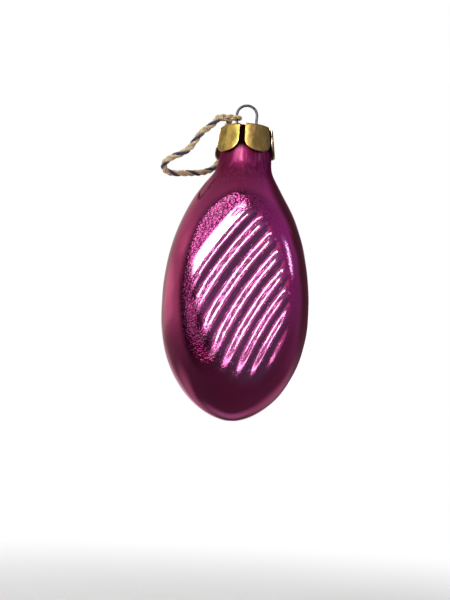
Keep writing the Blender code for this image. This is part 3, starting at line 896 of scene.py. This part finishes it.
def cut_slots(blank):
    """Slots for the wire's legs, cut by the boxes that are handed back."""
    wire_room = WIRE_RADIUS + SLOT_CLEARANCE
    inner, outer = EYE_RADIUS - wire_room, LEG_REACH + wire_room
    cutters = []
    for side in (-1, 1):
        bpy.ops.mesh.primitive_cube_add(size=1, location=(side * (inner + outer) / 2, 0, CAP_TOP))
        cutter = bpy.context.object
        cutter.scale = (outer - inner, 2 * wire_room, 2 * CAP_FOLD)
        blank.modifiers.new("slot", "BOOLEAN").object = cutter
        cutters.append(cutter)
    return cutters


def make_cap():
    blank = new_object("cap_blank", cap_sheet())
    blank.data.materials.append(brass_finish())
    blank.data.materials.append(cut_edge_finish())
    blank.location.z = CAP_TOP
    sheet = blank.modifiers.new("sheet", "SOLIDIFY")
    sheet.thickness = CAP_SHEET
    sheet.offset = -1.0
    sheet.use_even_offset = True
    sheet.material_offset_rim = 1
    rounding = blank.modifiers.new("rounding", "BEVEL")
    rounding.width = EDGE_ROUND
    rounding.segments = EDGE_SEGMENTS
    rounding.limit_method = "ANGLE"
    rounding.angle_limit = EDGE_ANGLE
    rounding.material = 1
    cutters = cut_slots(blank)
    bpy.context.view_layer.update()
    mesh = bpy.data.meshes.new_from_object(blank.evaluated_get(bpy.context.evaluated_depsgraph_get()))
    mesh.shade_smooth()
    mesh.set_sharp_from_angle(angle=CAP_SHARP)
    cap = new_object("petal_cap", mesh)
    cap.location.z = CAP_TOP
    for thing in (blank, *cutters):
        bpy.data.objects.remove(thing)
    put_on(cap, "cap", "cap")


# Hanger wire

def steel_finish():
    finish = new_finish("spring_steel")
    where = finish.place()
    drawn = finish.noise(finish.stretched(where, (6.0, 6.0, 0.6)), scale=1.2, detail=3.0, roughness=0.6)
    rust = finish.between(finish.noise(where, scale=0.8, detail=4.0, roughness=0.6), 0.58, 0.72)
    finish.shade(
        base_color=finish.mix(rust * 0.5, finish.mix(drawn, PALE_STEEL, DARK_STEEL), RUST),
        metallic=1.0, roughness=0.34 + drawn * 0.14 + rust * 0.2,
        normal=finish.bump(drawn, distance=0.012 * MM, strength=0.6))
    return finish.owner


def make_wire():
    """One wire from a leg's tip over the eye to the other tip."""
    leg = [
        (LEG_REACH - LEG_TOE_IN, LEG_TIP),
        (LEG_REACH - 0.1 * LEG_TOE_IN, LEG_TIP + 0.8 * LEG_TOE_LENGTH),
        (LEG_REACH, LEG_TIP + 1.4 * LEG_TOE_LENGTH),
        (LEG_REACH, CAP_TOP - 1.15 * LEG_SPREAD_DROP),
        (LEG_REACH - LEG_EASE, CAP_TOP - 0.95 * LEG_SPREAD_DROP),
        (EYE_RADIUS + EYE_EASE, CAP_TOP - CAP_SHEET),
    ]
    arch_foot = WIRE_HIGH.z - WIRE_RADIUS - EYE_RADIUS
    turns = np.linspace(0, math.pi, EYE_ROWS)
    arch = [(EYE_RADIUS * math.cos(turn), arch_foot + EYE_RADIUS * math.sin(turn)) for turn in turns]
    outline = leg + arch + [(-x, z) for x, z in reversed(leg)]
    line = smooth_line([(x, 0, z) for x, z in outline], WIRE_STEP)
    skin = Skin()
    skin.add(tube_rings(line, WIRE_RADIUS, WIRE_SIDES))
    wire = skin.piece("sprung_wire", [steel_finish()], WIRE_SHARP)
    put_on(wire, "hanger", "hanger_wire")


# Stage and light

def make_floor():
    """Pale floor, which fades to the white behind it away from the ornament."""
    bpy.ops.mesh.primitive_circle_add(
        vertices=FLOOR_CORNERS, radius=FLOOR_RADIUS, fill_type="NGON", location=(0, 0, FLOOR_HEIGHT))
    floor = bpy.context.object
    floor.name = "floor"
    finish = new_finish("pale_floor")
    here = finish.node("NewGeometry", output="Position")
    flat = finish.stretched(here, (1.0, 1.0, 0.0))
    far = finish.node("VectorMath", {"operation": "LENGTH"}, {0: flat}, "Value")
    seen = finish.node("LightPath", output="Is Camera Ray")
    grain = finish.noise(here, scale=60.0, detail=3.0)
    finish.shade(base_color=finish.mix(grain, FLOOR_GREY, FLOOR_PALE), roughness=0.8)
    white = finish.node("Emission", None, {"Color": WHITE, "Strength": 1.0})
    shader = Value(finish, finish.tree.nodes["Principled BSDF"].outputs[0])
    share = finish.between(far, *FLOOR_FADE) * seen
    both = finish.node("MixShader", None, {0: share, 1: shader, 2: white})
    finish.feed(finish.tree.nodes["Material Output"].inputs["Surface"], both)
    floor.data.materials.append(finish.owner)
    floor.visible_glossy = False


def only_reflected(thing, finish):
    """Give a stage piece a finish that shows in shiny surfaces alone and lights nothing else."""
    thing.data.materials.append(finish.owner)
    thing.visible_camera = False
    thing.visible_diffuse = False
    thing.visible_shadow = False
    finish.owner.cycles.emission_sampling = "NONE"


def make_tent():
    """Dim cloth all round: dark below, paler half-way up on the left, and violet on the right."""
    bpy.ops.mesh.primitive_uv_sphere_add(
        segments=TENT_SEGMENTS, ring_count=TENT_SEGMENTS // 2, radius=TENT_RADIUS, location=STAGE_MIDDLE)
    tent = bpy.context.object
    tent.name = "tent"
    finish = new_finish("tent_cloth")
    here = finish.node("TexCoord", output="Object")
    height = finish.part(here, "Z") * (0.5 / TENT_RADIUS) + 0.5
    left = finish.node("ValToRGB", {"stops": TENT_LEFT}, {0: height})
    right = finish.node("ValToRGB", {"stops": TENT_RIGHT}, {0: height})
    share = finish.between(finish.part(here, "X"), *TENT_SIDES)
    finish.shade(
        base_color=BLACK, specular_ior_level=0.0,
        emission_color=finish.mix(share, left, right), emission_strength=1.0)
    only_reflected(tent, finish)


def towards(azimuth, elevation):
    azimuth, elevation = math.radians(azimuth), math.radians(elevation)
    level = math.cos(elevation)
    return Vector((level * math.sin(azimuth), -level * math.cos(azimuth), math.sin(elevation)))


def make_card(name, azimuth, elevation, turn, width, height, fade, glow, tint):
    """Card with soft edges that faces the ornament: bright ones are softboxes and dark ones are flags."""
    bpy.ops.mesh.primitive_plane_add(size=1)
    card = bpy.context.object
    card.name = name
    place = towards(azimuth, elevation)
    card.location = STAGE_MIDDLE + place * CARD_DISTANCE
    facing = place.to_track_quat("Z", "Y").to_matrix() @ Matrix.Rotation(math.radians(turn), 3, "Z")
    card.rotation_euler = facing.to_euler()
    for axis, angle in enumerate((width, height)):
        card.scale[axis] = 2 * CARD_DISTANCE * math.tan(math.radians(angle / 2))
    finish = new_finish(name)
    here = finish.node("TexCoord", output="Object")
    covers = []
    for axis in ("X", "Y"):
        off = finish.node("Math", {"operation": "ABSOLUTE"}, {0: finish.part(here, axis)})
        covers.append(finish.between(off, CARD_EDGE, fade))
    finish.shade(
        base_color=BLACK, specular_ior_level=0.0,
        emission_color=tint, emission_strength=glow, alpha=covers[0] * covers[1])
    only_reflected(card, finish)


def make_lamp(name, azimuth, elevation, distance, size, power):
    """Soft lamp that faces the ornament and lights what isn't shiny."""
    lamp = bpy.data.lights.new(name, "AREA")
    lamp.size = size
    lamp.energy = power
    place = towards(azimuth, elevation)
    holder = new_object(name, lamp)
    holder.location = STAGE_MIDDLE + place * distance
    holder.rotation_euler = place.to_track_quat("Z", "Y").to_euler()
    holder.visible_glossy = False


def make_world():
    """White to the eye, in reflections and through glass, and a soft grey light on everything else."""
    world = bpy.data.worlds.new("white_room")
    bpy.context.scene.world = world
    finish = Finish(world)
    white = finish.node("LightPath", output="Is Camera Ray")
    for ray in ("Is Glossy Ray", "Is Transmission Ray"):
        also = finish.node("LightPath", output=ray)
        white = finish.node("Math", {"operation": "MAXIMUM"}, {0: white, 1: also})
    background = finish.tree.nodes["Background"]
    finish.feed(background.inputs["Color"], WHITE)
    finish.feed(background.inputs["Strength"], ROOM_LIGHT + white * (1 - ROOM_LIGHT))


def make_stage():
    make_world()
    make_floor()
    make_tent()
    for name, settings in CARDS.items():
        make_card(name, *settings)
    for name, settings in LAMPS.items():
        make_lamp(name, *settings)


bpy.context.scene.view_settings.view_transform = "Standard"
make_camera()
tan_yarn = yarn_finish("tan_yarn", TAN_FIBRE, TAN_HOLLOW_SHADE)
navy_yarn = yarn_finish("navy_yarn", NAVY_FIBRE, NAVY_HOLLOW_SHADE)
twine, twine_line = make_twine(tan_yarn, navy_yarn)
hitch = make_hitch(tan_yarn)
fuzz = make_fuzz(twine_line, tan_yarn)
make_glass()
make_cap()
make_wire()
make_stage()
